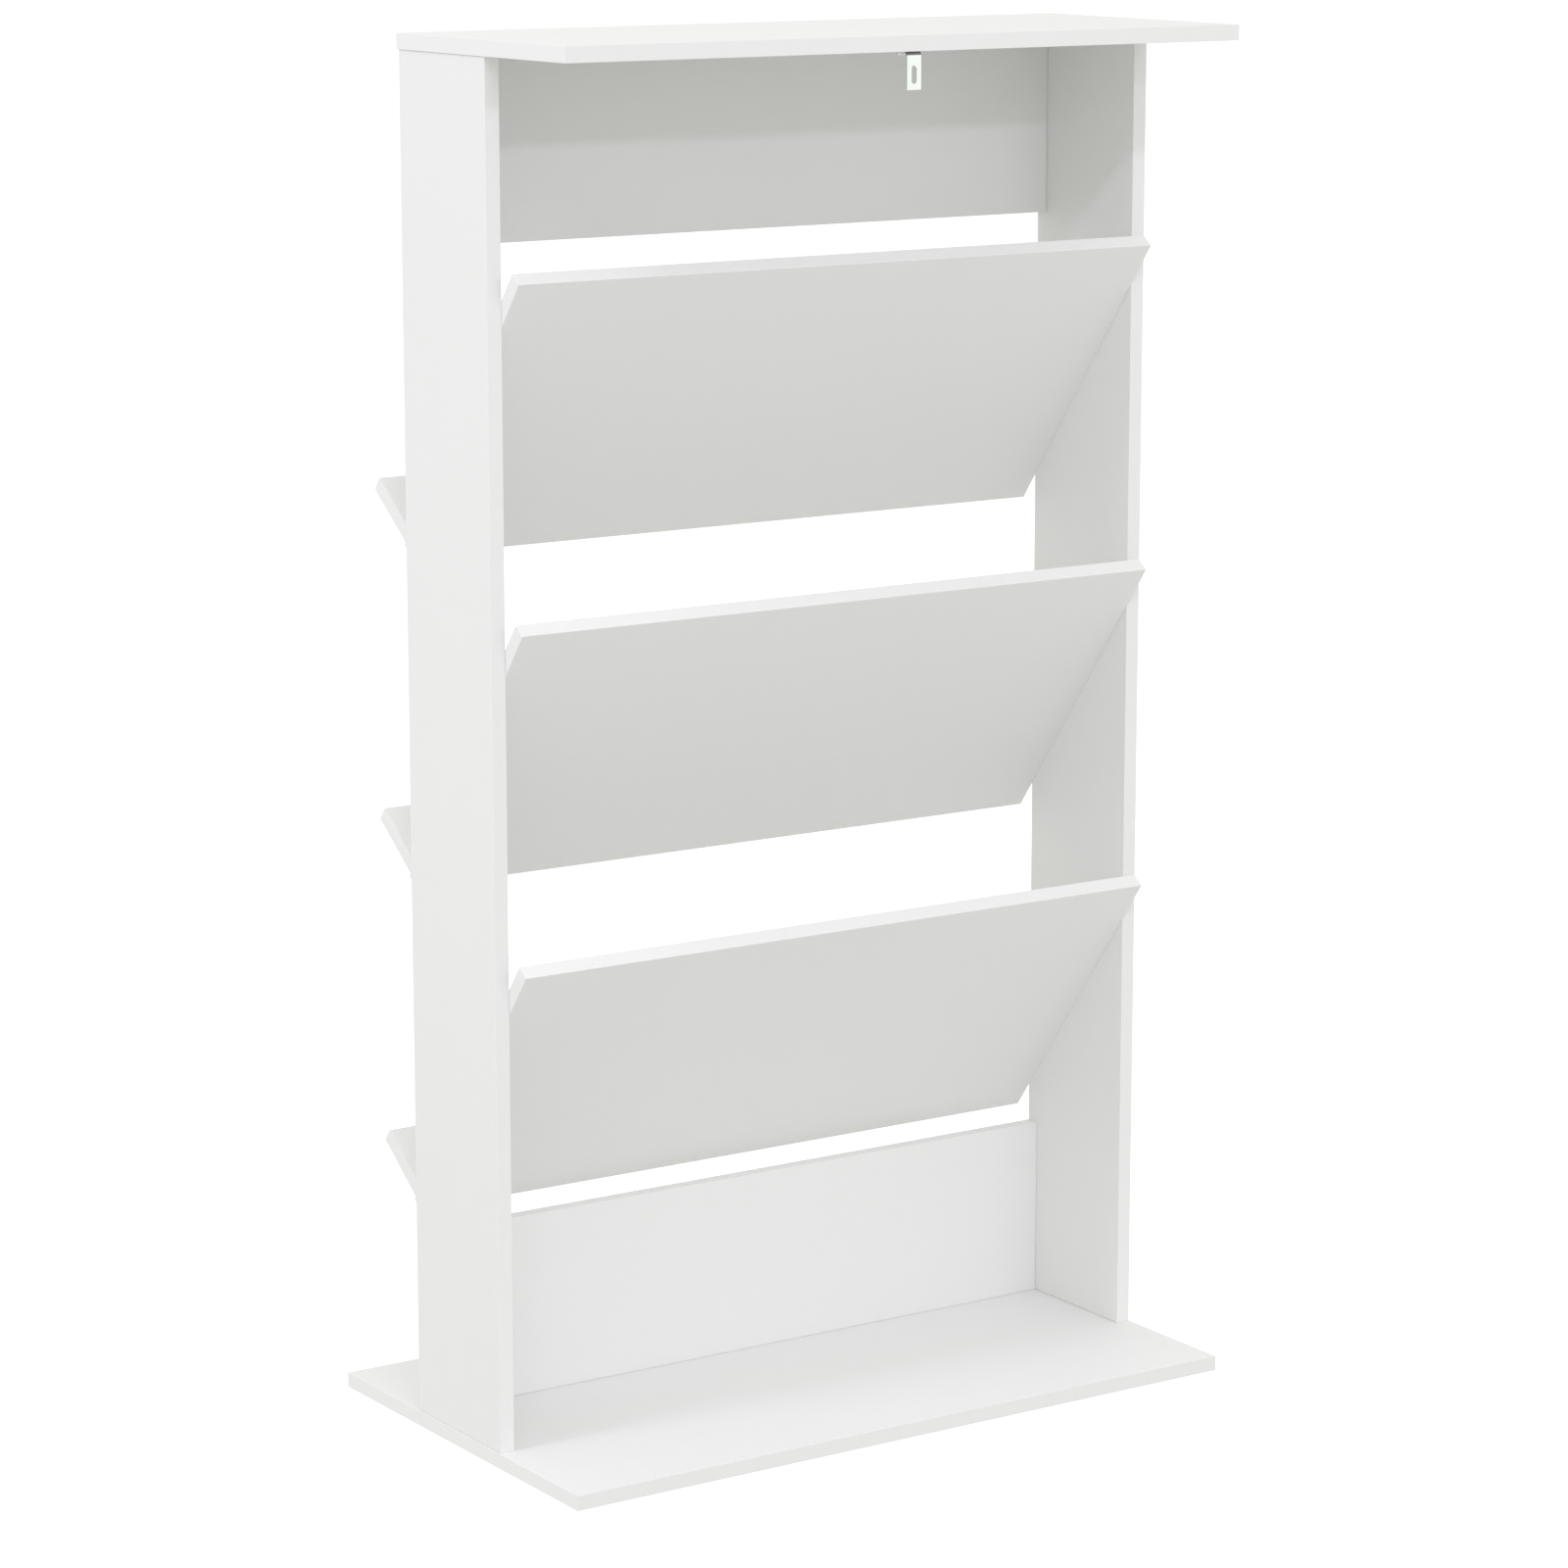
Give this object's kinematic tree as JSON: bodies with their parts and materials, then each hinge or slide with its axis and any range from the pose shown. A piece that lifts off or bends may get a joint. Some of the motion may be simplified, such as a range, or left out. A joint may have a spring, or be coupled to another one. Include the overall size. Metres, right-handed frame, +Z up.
{
  "type": "magazine rack",
  "caption": "Free-standing white board rack with V-shaped trays for magazines or files between side panels, on a wide base, with a top board, rails and a slotted wall bracket.",
  "frame": {"origin": "on the floor, under the middle of the base", "axes": "+Z up, X across the width, -Y towards the wall side (the side with the top's overhang, the wall bracket and the trays' sloping backs), +Y towards the user's side, where the trays open"},
  "size_m": [0.6, 0.35, 1.07],
  "materials": {
    "melamine_board": "particle board faced with white melamine, satin with a very fine grain",
    "edge_band": "white glued edge band, satin",
    "cam_zinc": "die-cast zinc, bright",
    "fastener_steel": "zinc-plated steel",
    "beech": "bare beech",
    "bracket_steel": "bright zinc-plated steel"
  },
  "bodies": {
    "root": {"base_panel": "melamine_board", "top_panel": "melamine_board", "left_side_panel": "melamine_board", "right_side_panel": "melamine_board", "upper_rail": "melamine_board", "lower_rail": "melamine_board", "lower_tray_back": "melamine_board", "lower_tray_lip": "melamine_board", "middle_tray_back": "melamine_board", "middle_tray_lip": "melamine_board", "upper_tray_back": "melamine_board", "upper_tray_lip": "melamine_board", "base_panel_edge_bands": "edge_band", "top_panel_edge_bands": "edge_band", "left_side_panel_edge_bands": "edge_band", "right_side_panel_edge_bands": "edge_band", "upper_rail_edge_bands": "edge_band", "lower_rail_edge_bands": "edge_band", "lower_tray_back_edge_bands": "edge_band", "lower_tray_lip_edge_bands": "edge_band", "middle_tray_back_edge_bands": "edge_band", "middle_tray_lip_edge_bands": "edge_band", "upper_tray_back_edge_bands": "edge_band", "upper_tray_lip_edge_bands": "edge_band", "cam_locks": "cam_zinc", "cam_bolts": "fastener_steel", "wooden_dowels": "beech", "base_screws": "fastener_steel", "bracket_screw": "fastener_steel", "wall_bracket": "bracket_steel"}
  },
  "joints": []
}
